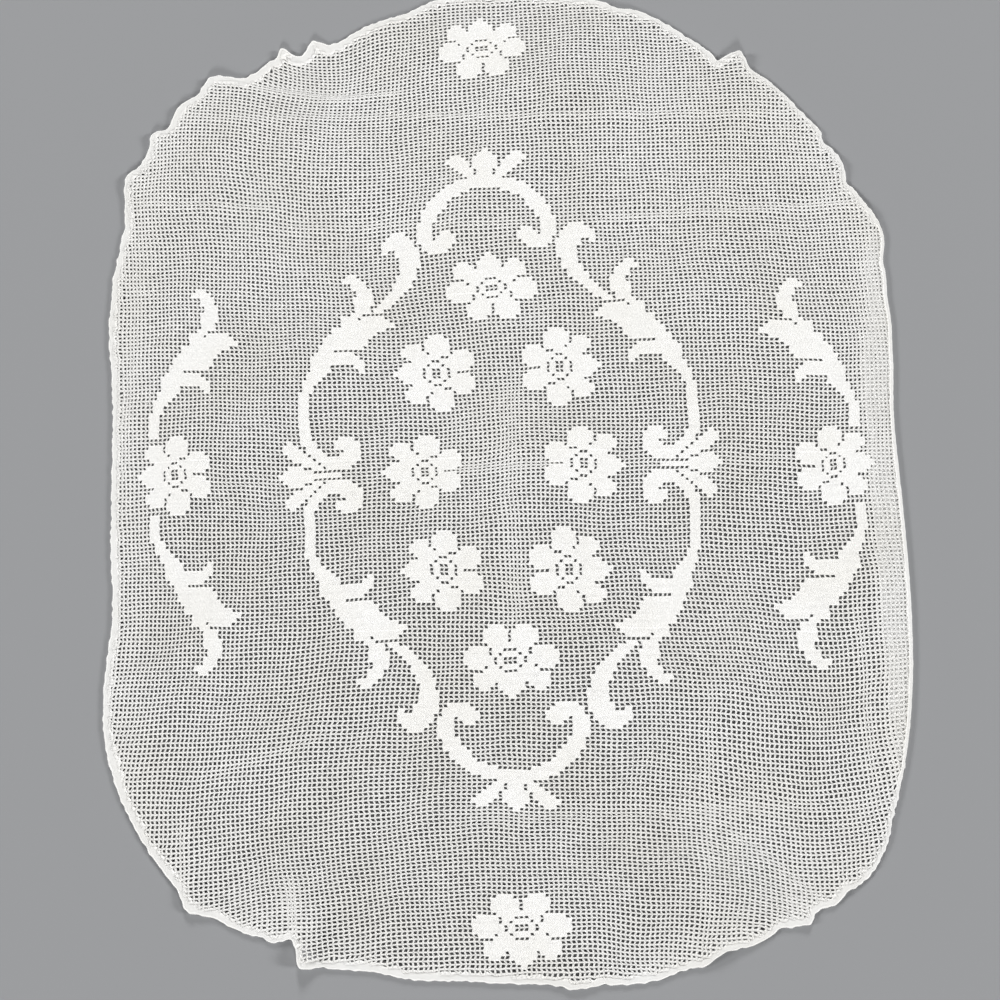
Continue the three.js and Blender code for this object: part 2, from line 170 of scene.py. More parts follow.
# How its cells are spread: their pitch, the chart's turn and lean, and each pull and crease.
COLUMN, ROW = 5.33, 4.644
CHART_TURN = math.radians(2)
COLUMN_LEAN = -0.01
CHART_SIDE, CHART_DROP = -0.8, -22.3
HALF_COLUMNS, HALF_ROWS = 88, 100
SIDE_DRAW_RIGHT, SIDE_DRAW_LEFT = 0.046, 0.075
ROW_STRETCH, END_DRAW = 0.0002, 0.028
BEND_START, BEND_LENGTH = 230.0, 140.0
BEND_RIGHT, BEND_LEFT = -8.0, 4.0
PULLS = [
    dict(at=(315, -375), by=(0, -26), spread=115),
    dict(at=(-205, 500), by=(4, -24), spread=75),
    dict(at=(-340, -440), by=(-9, -18), spread=110),
    dict(at=(-90, -140), by=(5, 8), spread=125),
    dict(at=(250, -95), by=(-10, 1), spread=100),
    dict(at=(-310, -110), by=(7, 0), spread=130),
    dict(at=(-330, 365), by=(-11, 12), spread=90),
    dict(at=(-150, 230), by=(-4, -8), spread=105),
    dict(at=(85, 450), by=(2, 10), spread=95),
    dict(at=(310, 415), by=(1, 9), spread=70),
    dict(at=(385, 130), by=(9, 0), spread=85),
    dict(at=(140, -265), by=(8, 0), spread=80),
    dict(at=(-190, -370), by=(-10, 1), spread=100),
    dict(at=(-70, 70), by=(6, -3), spread=85),
    dict(at=(-30, -450), by=(0, 11), spread=100),
    dict(at=(-140, 420), by=(-1, -7), spread=65),
    dict(at=(40, -40), by=(-2, 6), spread=60),
    dict(at=(205, -455), by=(-3, 8), spread=60),
    dict(at=(-410, 280), by=(-6, 2), spread=70),
    dict(at=(-120, 0), by=(6, -1), spread=80),
    dict(at=(100, -110), by=(-4, 3), spread=85),
    dict(at=(-170, -215), by=(4, 3), spread=85),
    dict(at=(-210, 320), by=(-4, -4), spread=75),
    dict(at=(215, -530), by=(-11, -3), spread=55),
    dict(at=(310, -180), by=(-3, -4), spread=70),
    dict(at=(250, -235), by=(5, -2), spread=60),
    dict(at=(300, 185), by=(5, 2), spread=65),
    dict(at=(-20, 275), by=(-4, 3), spread=75),
    dict(at=(-160, 505), by=(2, 7), spread=40),
    dict(at=(-110, -525), by=(3, 5), spread=60),
    dict(at=(90, -495), by=(0, 6), spread=50),
    dict(at=(-405, -345), by=(-7, -1), spread=60),
    dict(at=(405, -285), by=(-7, -2), spread=50),
    dict(at=(-395, -190), by=(5, 1), spread=65),
    dict(at=(-340, -40), by=(0, 4), spread=80),
    dict(at=(-320, 80), by=(3, 0), spread=60),
    dict(at=(-235, -480), by=(4, 7), spread=42),
    dict(at=(205, -470), by=(4, -4), spread=42),
    dict(at=(335, -455), by=(-1, -5), spread=40),
    dict(at=(265, -505), by=(-5, 0), spread=30),
    dict(at=(140, -520), by=(-4, -1), spread=30),
    dict(at=(-240, 440), by=(5, -3), spread=35),
    dict(at=(-80, -400), by=(-4, -1), spread=40),
    dict(at=(400, -40), by=(-2, 4), spread=40),
    dict(at=(400, -140), by=(4, 2), spread=40),
    dict(at=(400, 265), by=(4, 2), spread=40),
    dict(at=(5, 40), by=(0, 3), spread=40),
    dict(at=(-160, 165), by=(3, -2), spread=40),
    dict(at=(240, 235), by=(-3, -1), spread=60),
]
TENSION_WAVES = [
    dict(wave=170, way=105, sway=0.5, start=2.0),
    dict(wave=120, way=-40, sway=0.5, start=4.1),
    dict(wave=85, way=70, sway=0.45, start=1.2),
    dict(wave=58, way=-15, sway=0.4, start=3.3),
    dict(wave=41, way=128, sway=0.3, start=5.2),
]
CROSS_SWAY_RATE = 0.83
CREASES = [
    dict(start=(-397, -47), end=(-30, -20), width=9, squeeze=0.1, lift=0.08),
    dict(start=(-60, -20), end=(60, -15), width=9, squeeze=0.25, lift=0.12),
    dict(start=(48, -15), end=(260, -12), width=8, squeeze=0.1, lift=0.08),
    dict(start=(255, -10), end=(405, -5), width=8, squeeze=0.22, lift=0.16),
    dict(start=(10, 81), end=(15, -186), width=16, squeeze=0.16, lift=0.08),
    dict(start=(-291, 436), end=(-184, 421), width=8, squeeze=0.45, lift=0.48),
    dict(start=(-207, 421), end=(-117, 430), width=6, squeeze=0.45, lift=0.4),
    dict(start=(-350, 397), end=(-80, 400), width=6, squeeze=0.2, lift=0.12),
    dict(start=(-95, 400), end=(330, 404), width=6, squeeze=0.28, lift=0.2),
    dict(start=(110, 272), end=(410, 292), width=7, squeeze=0.32, lift=0.32),
    dict(start=(-420, 292), end=(-260, 285), width=8, squeeze=0.2, lift=0.16),
    dict(start=(-260, 262), end=(20, 268), width=8, squeeze=0.16, lift=0.12),
    dict(start=(224, -249), end=(209, -527), width=9, squeeze=0.18, lift=0.24),
    dict(start=(233, -397), end=(340, -478), width=7, squeeze=0.18, lift=0.2),
    dict(start=(385, -164), end=(390, -350), width=9, squeeze=0.28, lift=0.24),
    dict(start=(-30, -392), end=(380, -376), width=10, squeeze=0.16, lift=0.16),
    dict(start=(-311, -350), end=(-176, -304), width=8, squeeze=0.2, lift=0.16),
    dict(start=(-334, -400), end=(-325, -470), width=8, squeeze=0.3, lift=0.24),
    dict(start=(-412, 200), end=(-418, -40), width=10, squeeze=0.2, lift=0.16),
    dict(start=(-218, -456), end=(-208, -545), width=6, squeeze=0.55, lift=0),
]
CREASE_FADE = 45.0


def pulled(points):
    """Points moved where the cloth has been drawn out of square in spreading it."""
    moved = points.copy()
    for row in PULLS:
        away = np.linalg.norm(points - np.array(row["at"]), axis=-1)
        moved = moved + np.exp(-((away / row["spread"]) ** 2))[..., None] * np.array(row["by"])
    return moved


def tension(points):
    """Points moved as the tension of the handwork varies over the cloth."""
    moved = points.copy()
    for row in TENSION_WAVES:
        way = math.radians(row["way"])
        along = points[..., 0] * math.cos(way) + points[..., 1] * math.sin(way)
        phase = 2 * math.pi * along / row["wave"] + row["start"]
        moved[..., 0] += row["sway"] * np.sin(phase)
        moved[..., 1] += row["sway"] * np.cos(phase * CROSS_SWAY_RATE + row["wave"])
    return moved


def beside_crease(points, row):
    """Distance of points to the side of a crease, which way that is, and the crease's strength there."""
    start, end = np.array(row["start"]), np.array(row["end"])
    length = np.linalg.norm(end - start)
    ahead = (end - start) / length
    aside = np.array([-ahead[1], ahead[0]])
    along, side = (points - start) @ ahead, (points - start) @ aside
    ends = ease(along / CREASE_FADE + 0.5) * ease((length - along) / CREASE_FADE + 0.5)
    return side, aside, ends * np.exp(-((side / row["width"]) ** 2))


def creased(points):
    for row in CREASES:
        side, aside, strength = beside_crease(points, row)
        points = points - (row["squeeze"] * side * strength)[..., None] * aside
    return points


def crease_lift(points):
    return sum(row["lift"] * beside_crease(points, row)[2] for row in CREASES)


def chart_place(column, row):
    """Place on the surface of a chart position, in cells from the chart's middle."""
    side_draw = np.where(column >= 0, SIDE_DRAW_RIGHT, SIDE_DRAW_LEFT)
    u = COLUMN * column * (1 - side_draw * (column / HALF_COLUMNS) ** 2) + CHART_SIDE
    bend_right = BEND_RIGHT * ease((u - BEND_START) / BEND_LENGTH)
    bend_left = BEND_LEFT * ease((-u - BEND_START) / BEND_LENGTH)
    v = ROW * row * (1 + ROW_STRETCH * row - END_DRAW * (row / HALF_ROWS) ** 2) + (bend_right + bend_left)
    u = u + COLUMN_LEAN * v
    x = u * math.cos(CHART_TURN) - v * math.sin(CHART_TURN)
    y = u * math.sin(CHART_TURN) + v * math.cos(CHART_TURN) + CHART_DROP
    return creased(tension(pulled(np.stack([x, y], axis=-1))))


# How high it lies: over its own hem, over the strip beneath it, and up each fold and crease.
NET_THICK, LAYER_GAP = 1.3, 0.5
STRIP_RISE, SETTLE_IN = 0.3, 10.0


def lie_height(points):
    """Height of the net's underside above the floor."""
    turn, inset = place_in_outline(points)
    over = 1 - np.clip((inset - turned_depth(turn)) / SETTLE_IN, 0, 1)
    over_hem = NET_THICK + LAYER_GAP
    rise = over_hem + (STRIP_RISE - over_hem) * turned_share(turn)
    return rise * over + fold_lift(turn, inset) + crease_lift(points)


# The chart of its filled cells, counted from the middle: one quarter is set down and then mirrored.
# Half of a flower that faces right, from its middle row up; its other half is the same turned over.
FLOWER_ROWS = [
    "....#.#..#.######",
    ".####.#..#.#####.",
    "######.##.#####..",
    "#######..####....",
    "#####..#######...",
    ".###.####.#####..",
    ".....#####.####..",
    ".....#####.###...",
    ".....#####.......",
    "......###........",
]
FLOWER_FIRST = -7.5
FLOWERS = [
    dict(column=0, row=110.5, faces="up"),
    dict(column=71.5, row=0, faces="right"),
    dict(column=0, row=45.5, faces="up"),
    dict(column=13.5, row=25, faces="right"),
    dict(column=17.5, row=0, faces="right"),
]
FLOWER_TURNS = {"right": (1, 0), "up": (0, 1)}
# Right half of the crown that stands on the arch, from its tip down, and upper half of the palmette
# on each side stem, from its middle row up.
CROWN_ROWS = [
    "#........",
    "##....##.",
    "###..####",
    "###.####.",
    "###.###..",
    "##.###...",
    "##.##....",
    "####.....",
    "#######..",
    "#########",
]
CROWN_TIP = 81
PALMETTE_ROWS = [
    "....#############",
    "..........######.",
    "..#####.##..###..",
    ".#######.###.....",
    "#########.####...",
    "####...###.####..",
    "###.....###.####.",
    "#####....##..###.",
    "#####....###..#..",
    ".###......##.....",
]
PALMETTE_FIRST = 31
# Lines of the upper right quarter, each as the columns, rows and half widths that its middle passes.
ARCH_STROKES = {
    "arch": [(0, 72.9, 1.2), (4, 72.4, 1.35), (7.4, 70.9, 1.6), (10, 68.2, 1.7), (11.8, 65.2, 1.6),
             (12.9, 62.2, 1.5), (13.1, 59.6, 1.45), (11.7, 57.4, 1.4), (9.4, 57.1, 1.5), (8.5, 58.4, 1.7)],
    "hook_scroll": [(22.1, 57, 0.4), (21.3, 58.4, 1), (19.1, 59.3, 2), (17.3, 57.4, 2.2),
                    (16.6, 54.8, 1.95), (16.9, 52, 1.6), (18, 49.2, 1.5), (19.6, 46.6, 1.3),
                    (22, 44, 1.2), (24.4, 42.1, 0.7)],
}
SPRAY_STROKES = {
    "hook_leaf": [(31, 50, 0.4), (29.6, 50.2, 1.05), (28.2, 48.6, 1.3), (27.2, 46.4, 1.4),
                  (27.5, 44.4, 1.75), (28.4, 42.2, 1.4), (29.7, 40.6, 1), (31.2, 39, 1.3)],
    "big_leaf": [(22.3, 38.2, 0.4), (24.6, 38.5, 1.7), (27.4, 37.6, 2.8), (30.1, 35.8, 3.5),
                 (32.5, 33.2, 3.6), (34.6, 30.4, 2.6)],
    "low_leaf": [(37.2, 28, 2.1), (34.5, 29.2, 1.4), (32, 29.2, 1.5), (30.2, 28, 1.2), (29.1, 26.2, 0.5)],
    "stem": [(36.4, 30.6, 1.6), (37.3, 27.6, 2), (38.5, 25.2, 1.6), (39.8, 23.2, 1.1), (40.6, 21.2, 0.9),
             (41.3, 19.4, 1), (41.5, 14, 0.8), (41.5, 10, 0.8)],
}
SPRAY_OPENINGS = [
    dict(row=41, first=24, last=28),
    dict(row=40, first=29, last=29),
    dict(row=31, first=28, last=34),
]
SPRAY_SHIFTS = [(0, 0), (35, -5)]
STROKE_SAMPLES = 60
FIRST_COLUMN, LAST_COLUMN = -94, 100
FIRST_ROW, LAST_ROW = -136, 138
cell_columns, cell_rows = np.meshgrid(np.arange(FIRST_COLUMN, LAST_COLUMN),
                                      np.arange(FIRST_ROW, LAST_ROW))
filled_cells = np.zeros(cell_rows.shape, bool)


def smooth_line(places):
    """A stroke's middle line and half width, as a smooth curve through its places."""
    points = np.array([places[0], *places, places[-1]], float)
    steps = np.linspace(0, len(places) - 1, STROKE_SAMPLES)
    start = np.minimum(steps.astype(int), len(places) - 2)
    t = (steps - start)[:, None]
    a, b, c, d = (points[start + k] for k in range(4))
    bend = 2 * a - 5 * b + 4 * c - d
    return 0.5 * (2 * b + (c - a) * t + bend * t**2 + (3 * b - a - 3 * c + d) * t**3)


def fill_strokes(strokes, shift):
    """Fills the cells under each stroke, in all four quarters."""
    for places in strokes.values():
        for column, row, half in smooth_line(places) + (*shift, 0):
            filled_cells[np.hypot(np.abs(cell_columns) - column, np.abs(cell_rows) - row) <= half] = True


def set_cell(column, row, fill):
    """Fills or opens one cell and its likenesses in the other three quarters."""
    filled_cells[(np.abs(cell_columns) == column) & (np.abs(cell_rows) == row)] = fill


def set_flower(flower):
    facing = np.array(FLOWER_TURNS[flower["faces"]])
    aside = np.array([-facing[1], facing[0]])
    heart = np.array([flower["column"], flower["row"]])
    for side, cells in enumerate(FLOWER_ROWS):
        for index, cell in enumerate(cells):
            for way in (side, -side):
                column, row = heart + facing * (FLOWER_FIRST + index) + aside * way
                set_cell(round(column), round(row), cell == "#")


fill_strokes(ARCH_STROKES, (0, 0))
for shift in SPRAY_SHIFTS:
    fill_strokes(SPRAY_STROKES, shift)
    for opening in SPRAY_OPENINGS:
        for column in range(opening["first"], opening["last"] + 1):
            set_cell(column + shift[0], opening["row"] + shift[1], False)
for down, cells in enumerate(CROWN_ROWS):
    for column, cell in enumerate(cells):
        set_cell(column, CROWN_TIP - down, cell == "#")
for up, cells in enumerate(PALMETTE_ROWS):
    for index, cell in enumerate(cells):
        set_cell(PALMETTE_FIRST + index, up, cell == "#")
for flower in FLOWERS:
    set_flower(flower)

# Where its knots fall: in rows worked to and fro, drawn up at the hem, and each a little astray.
STITCH_LEAN = 0.13
ROW_SHARE_LEFT, ROW_SHARE_RIGHT = 0.004, 0.03
ROW_SHARE_START, ROW_SHARE_SPAN = -10, 60
STRAY = 0.13
GATHER_REACH, GATHER_STRAY = 13.0, 0.4
HANDWORK_SEED = 11
line_columns, line_rows = np.meshgrid(np.arange(FIRST_COLUMN, LAST_COLUMN + 1) - 0.5,
                                      np.arange(FIRST_ROW, LAST_ROW + 1) - 0.5)
turn_about = np.where(np.arange(len(line_rows)) % 2 == 0, 1, -1)[:, None]
handwork = np.random.default_rng(HANDWORK_SEED)
to_right = ease((line_columns - ROW_SHARE_START) / ROW_SHARE_SPAN)
row_share = ROW_SHARE_LEFT + (ROW_SHARE_RIGHT - ROW_SHARE_LEFT) * to_right
knots = chart_place(line_columns + STITCH_LEAN * turn_about, line_rows + row_share * turn_about)


def gathered(turn, inset):
    """One where the net is drawn into the hem, and nought where it lies free of it."""
    return (1 - turned_share(turn)) * (1 - ease((inset - HEM_WIDTH) / GATHER_REACH))


stray = STRAY + GATHER_STRAY * gathered(*place_in_outline(knots))
knots = knots + handwork.normal(0, 1, knots.shape) * stray[..., None]

# How full its thread looks: fuller where the net is drawn close, and uneven as handwork is.
THREAD_UNEVEN = 0.07
TOP_CLOSER, TOP_START, TOP_SPAN = 0.17, -150.0, 500.0
SIDE_CLOSER, SIDE_REACH = 0.2, 65.0
SIDE_START, SIDE_SPAN = 0.55, 0.25
STRIP_CLOSER, CREASE_CLOSER, GATHER_CLOSER = 0.26, 0.6, 0.14
CLOSER = [
    dict(at=(5, 20), more=0.12, spread=60),
    dict(at=(10, -140), more=0.1, spread=50),
    dict(at=(240, -380), more=0.12, spread=60),
    dict(at=(330, -470), more=0.14, spread=60),
    dict(at=(240, 380), more=0.06, spread=90),
    dict(at=(250, -180), more=0.08, spread=60),
    dict(at=(-240, 350), more=0.05, spread=90),
    dict(at=(-219, -464), more=0.3, spread=11),
    dict(at=(-213, -480), more=0.35, spread=11),
    dict(at=(-208, -498), more=0.4, spread=11),
    dict(at=(-245, -492), more=0.15, spread=25),
    dict(at=(162, -532), more=0.2, spread=18),
    dict(at=(198, -515), more=0.25, spread=18),
    dict(at=(245, -500), more=0.25, spread=25),
    dict(at=(306, -478), more=0.3, spread=15),
]


def closeness(points):
    """How much fuller the thread looks where the net is drawn close."""
    turn, inset = place_in_outline(points)
    top = TOP_CLOSER * ease((points[..., 1] - TOP_START) / TOP_SPAN)
    sides = ease((np.abs(np.cos(np.radians(turn))) - SIDE_START) / SIDE_SPAN)
    side = SIDE_CLOSER * sides * (1 - ease((inset - HEM_WIDTH) / SIDE_REACH))
    strip = STRIP_CLOSER * turned_share(turn) * (1 - ease((inset - turned_depth(turn)) / SETTLE_IN))
    away = [np.linalg.norm(points - np.array(row["at"]), axis=-1) / row["spread"] for row in CLOSER]
    spots = sum(row["more"] * np.exp(-(far**2)) for row, far in zip(CLOSER, away))
    creases = CREASE_CLOSER * sum(row["squeeze"] * beside_crease(points, row)[2] for row in CREASES)
    return 1 + top + side + strip + spots + creases + GATHER_CLOSER * gathered(turn, inset)


fullness = closeness(knots) * (1 + handwork.normal(0, THREAD_UNEVEN, line_rows.shape))

# How far in the hem reaches, and so where the net ends: less where the edge is a fold.
FOLD_WIDTH, HEM_OVERLAP = 4.5, 3.5
HEM_SWELLS = [
    dict(turn=-140, out=2, spread=4),
    dict(turn=-126, out=1.5, spread=4),
    dict(turn=-117, out=-1.5, spread=3),
    dict(turn=-66, out=-1.5, spread=4),
    dict(turn=-45, out=-3, spread=6),
    dict(turn=45, out=-2.5, spread=12),
    dict(turn=112, out=4.5, spread=4),
    dict(turn=121, out=3, spread=5),
    dict(turn=132, out=2.5, spread=2),
]


def edge_width(turn):
    broad = sum(row["out"] * hump(turn, row) for row in HEM_SWELLS)
    return HEM_WIDTH + broad + (FOLD_WIDTH - HEM_WIDTH) * turned_share(turn)


# Its cotton: matt white in paler and deeper patches, with a twist along each cord and loose fibres.
COTTON_SHADE, COTTON_WHITE = (0.87, 0.86, 0.83, 1), (0.90, 0.895, 0.88, 1)
PLY_LENGTH, PLY_RELIEF = 1.6, 0.15


def cotton_thread():
    """Matt white cotton: a soft sheen, a plied twist along each cord and loose fibres."""
    material = bpy.data.materials.new("cotton_thread")
    material.use_nodes = True
    nodes, links = material.node_tree.nodes, material.node_tree.links
    shader = nodes["Principled BSDF"]
    shader.inputs["Sheen Weight"].default_value = 0.04
    shader.inputs["Sheen Roughness"].default_value = 0.5
    shader.inputs["Specular IOR Level"].default_value = 0.25
    place = nodes.new("ShaderNodeTexCoord")
    patches = nodes.new("ShaderNodeTexNoise")
    patches.inputs["Scale"].default_value = 9.0
    patches.inputs["Detail"].default_value = 3.0
    links.new(place.outputs["Object"], patches.inputs["Vector"])
    tone = nodes.new("ShaderNodeValToRGB")
    tone.color_ramp.elements[0].position = 0.35
    tone.color_ramp.elements[0].color = COTTON_SHADE
    tone.color_ramp.elements[1].position = 0.62
    tone.color_ramp.elements[1].color = COTTON_WHITE
    links.new(patches.outputs["Fac"], tone.inputs["Fac"])
    links.new(tone.outputs["Color"], shader.inputs["Base Color"])
    fibres = nodes.new("ShaderNodeTexNoise")
    fibres.inputs["Scale"].default_value = 2600.0
    fibres.inputs["Detail"].default_value = 2.0
    links.new(place.outputs["Object"], fibres.inputs["Vector"])
    rough = nodes.new("ShaderNodeMapRange")
    rough.inputs["To Min"].default_value = 0.82
    rough.inputs["To Max"].default_value = 0.97
    links.new(fibres.outputs["Fac"], rough.inputs["Value"])
    links.new(rough.outputs["Result"], shader.inputs["Roughness"])
    ply = nodes.new("ShaderNodeAttribute")
    ply.attribute_name = "ply"
    turns = nodes.new("ShaderNodeMath")
    turns.operation = "MULTIPLY"
    turns.inputs[1].default_value = 2 * math.pi
    links.new(ply.outputs["Fac"], turns.inputs[0])
    twist = nodes.new("ShaderNodeMath")
    twist.operation = "SINE"
    links.new(turns.outputs["Value"], twist.inputs[0])
    relief = nodes.new("ShaderNodeMath")
    relief.operation = "MULTIPLY_ADD"
    relief.inputs[1].default_value = 0.4
    links.new(twist.outputs["Value"], relief.inputs[0])
    links.new(fibres.outputs["Fac"], relief.inputs[2])
    bump = nodes.new("ShaderNodeBump")
    bump.inputs["Strength"].default_value = 0.35
    bump.inputs["Distance"].default_value = PLY_RELIEF * MM
    links.new(relief.outputs["Value"], bump.inputs["Height"])
    links.new(bump.outputs["Normal"], shader.inputs["Normal"])
    return material


cotton = cotton_thread()

# Its cords, in millimetres: the chains, the upright stitches, and the stitches that fill a cell.
CHAIN_BOW = 0.12
CHAIN_AT_STITCH, CHAIN_BETWEEN = 2.35, 1.95
STITCH_FOOT, STITCH_HEAD = 2.0, 2.1
CORD_LOW = 0.35
CHAIN_RIDGE, STITCH_RIDGE = 1.8, 1.65
BLOCK_WIDTH, BLOCK_LAP = 2.2, 0.15
BLOCK_LOW, BLOCK_AT_CHAIN, BLOCK_RIDGE = 1.6, 1.88, 2.05
LEAST_KNOTS = 2


class Threads:
    """Cords of three sides gathered into one mesh, each closed at both ends."""

    def __init__(self):
        self.points, self.sides, self.ends, self.plies = [], [], [], []
        self.count = 0

    def add(self, left, ridge, right):
        """Adds cords of equal length by their three edges, each as (cords, places, 3) in millimetres."""
        cords, places = ridge.shape[:2]
        self.points.append(np.stack([left, ridge, right], axis=2).reshape(-1, 3))
        steps = np.linalg.norm(np.diff(ridge, axis=1), axis=2).cumsum(axis=1)
        along = np.pad(steps, ((0, 0), (1, 0))) / PLY_LENGTH
        self.plies.append((along[:, :, None] + np.arange(3) / 3).ravel())
        first = self.count + 3 * (np.arange(cords)[:, None] * places + np.arange(places - 1)).ravel()
        for k in range(3):
            after = (k + 1) % 3
            quads = [first + k, first + after, first + 3 + after, first + 3 + k]
            self.sides.append(np.stack(quads, axis=1))
        foot = self.count + 3 * np.arange(cords) * places
        head = foot + 3 * (places - 1)
        self.ends.append(np.stack([foot + 2, foot + 1, foot], axis=1))
        self.ends.append(np.stack([head, head + 1, head + 2], axis=1))
        self.count += 3 * cords * places

    def lay(self, middles, widths, low, ridge):
        """Adds flat cords by middles, as (cords, places, 2), widths and heights, as (cords, places)."""
        along = np.gradient(middles, axis=1)
        along = along / np.linalg.norm(along, axis=2, keepdims=True)
        aside = np.stack([-along[..., 1], along[..., 0]], axis=2) * widths[..., None] / 2
        left, right = middles + aside, middles - aside
        self.add(np.dstack([left, low]), np.dstack([middles, ridge]), np.dstack([right, low]))

    def piece(self, name):
        points = np.concatenate(self.points) * MM
        sides, ends = np.concatenate(self.sides), np.concatenate([np.zeros((0, 3), int), *self.ends])
        mesh = bpy.data.meshes.new(name)
        mesh.vertices.add(len(points))
        mesh.vertices.foreach_set("co", points.astype(np.float32).ravel())
        mesh.loops.add(sides.size + ends.size)
        corners = np.concatenate([sides.ravel(), ends.ravel()])
        mesh.loops.foreach_set("vertex_index", corners.astype(np.int32))
        starts = np.concatenate([np.arange(len(sides)) * 4, sides.size + np.arange(len(ends)) * 3])
        mesh.polygons.add(len(starts))
        mesh.polygons.foreach_set("loop_start", starts.astype(np.int32))
        mesh.update(calc_edges=True)
        mesh.polygons.foreach_set("use_smooth", np.arange(len(starts)) < len(sides))
        ply = mesh.attributes.new("ply", "FLOAT", "POINT")
        ply.data.foreach_set("value", np.concatenate(self.plies).astype(np.float32))
        mesh.materials.append(cotton)
        piece = bpy.data.objects.new(name, mesh)
        bpy.context.scene.collection.objects.link(piece)
        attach(piece, "root")
        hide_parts("cloth")
        return piece


def runs_of(flags, shortest):
    """First and past-the-last index of each run of true flags that is long enough."""
    steps = np.flatnonzero(np.diff(np.concatenate([[0], flags.astype(int), [0]])))
    return [(a, b) for a, b in steps.reshape(-1, 2) if b - a >= shortest]


class Net:
    """One layer of the net: its knots, their heights, and which of them are there."""

    def __init__(self, places, heights, kept, blocks, full, press):
        self.places, self.heights, self.kept, self.blocks = places, heights, kept, blocks
        self.full, self.press = full, press

    def add_chain(self, threads, line):
        for start, stop in runs_of(self.kept[line], LEAST_KNOTS):
            places = self.places[line, start:stop]
            middles = np.empty((2 * len(places) - 1, 2))
            middles[::2] = places
            middles[1::2] = (places[1:] + places[:-1]) / 2 + [0, CHAIN_BOW]
            full = self.full[line, start:stop]
            widths = np.empty(len(middles))
            widths[::2] = CHAIN_AT_STITCH * full
            widths[1::2] = CHAIN_BETWEEN * (full[1:] + full[:-1]) / 2
            steps = np.arange(len(middles))
            lie = np.interp(steps, steps[::2], self.heights[line, start:stop])
            low, ridge = lie + CORD_LOW, lie + CHAIN_RIDGE * self.press
            threads.lay(middles[None], widths[None], low[None], ridge[None])

    def stitch_flags(self, rows):
        """For each row, which stitches stand, which are in a block, and which cells are filled."""
        both = self.kept[rows] & self.kept[rows + 1]
        filled = self.blocks[rows] & both[:, :-1] & both[:, 1:]
        in_block = np.zeros_like(both)
        in_block[:, :-1] |= filled
        in_block[:, 1:] |= filled
        return both, in_block, filled

    def add_stitches(self, threads, row, columns):
        """Adds one upright stitch from chain to chain at each of the columns given."""
        middles = np.stack([self.places[row, columns], self.places[row + 1, columns]], axis=1)
        lie = np.stack([self.heights[row, columns], self.heights[row + 1, columns]], axis=1)
        widths = self.full[row, columns][:, None] * np.array([[STITCH_FOOT, STITCH_HEAD]])
        threads.lay(middles, widths, lie + CORD_LOW, lie + STITCH_RIDGE * self.press)

    def add_block_stitches(self, threads, rows, column, share):
        """Adds the stitches of a run of filled rows as one cord, a share of a cell past that column."""
        lines = np.arange(rows[0], rows[-1] + 2)
        beyond = min(column + 1, self.places.shape[1] - 1)
        path = (1 - share) * self.places[lines, column] + share * self.places[lines, beyond]
        path[0] -= BLOCK_LAP * (path[1] - path[0])
        path[-1] += BLOCK_LAP * (path[-1] - path[-2])
        steps = np.linspace(0, len(lines) - 1, 2 * len(lines) - 1)
        middles = np.stack([np.interp(steps, np.arange(len(lines)), path[:, k]) for k in range(2)], axis=1)
        lie = (1 - share) * self.heights[lines, column] + share * self.heights[lines, beyond]
        lie = np.interp(steps, np.arange(len(lines)), lie)
        full = np.interp(steps, np.arange(len(lines)), self.full[lines, column])
        ridge = lie + np.where(np.arange(len(steps)) % 2, BLOCK_RIDGE, BLOCK_AT_CHAIN)
        threads.lay(middles[None], BLOCK_WIDTH * full[None], (lie + BLOCK_LOW)[None], ridge[None])

    def add_rows(self, threads, lines):
        """Adds chains and stitches of a run of rows, and counts its cells."""
        both, in_block, filled = self.stitch_flags(lines)
        for index, line in enumerate(lines):
            self.add_chain(threads, line)
            self.add_stitches(threads, line, np.flatnonzero(both[index] & ~in_block[index]))
        for flags, share in ((in_block, 0), (filled, 1 / 3), (filled, 2 / 3)):
            for column in np.flatnonzero(flags.any(axis=0)):
                for start, stop in runs_of(flags[:, column], 1):
                    self.add_block_stitches(threads, lines[start:stop], column, share)
        return np.count_nonzero(both)


# Its rows, in bands that follow each other without a break.
NET_BANDS = 6
knot_turns, knot_insets = place_in_outline(knots)
inside = knot_insets > edge_width(knot_turns) - HEM_OVERLAP
net = Net(knots, lie_height(knots), inside, filled_cells, fullness, 1)
net_lines = np.flatnonzero(inside.sum(axis=1) >= LEAST_KNOTS)
for number, lines in enumerate(np.array_split(net_lines, NET_BANDS), 1):
    threads = Threads()
    cells = net.add_rows(threads, lines)
    piece = threads.piece(f"filet_rows_{number}")

# The strip turned under along the right side: the same net carried on past the fold and laid back
# beneath the cloth. It is pressed flat and looks fuller, and its cells show through those above it.
UNDER_HEM_WIDTH = 8.0
UNDER_FULLNESS, UNDER_PRESS = 1.75, 0.8
FOLD_START = 1.0
STRIP_FROM_SHARE = 0.5


def on_surface(x, y):
    """Points on the surface, from places about the outline's middle."""
    return np.stack([x - EDGE_LEAN * y, y], axis=-1) + OUTLINE_MIDDLE


def folded_back(points):
    """Points past the edge, laid back under the cloth as far in as they were out."""
    x, y, turn = about_middle(points)
    scale = 2 * edge_reach(turn) / np.hypot(x, y) - 1
    return on_surface(x * scale, y * scale)


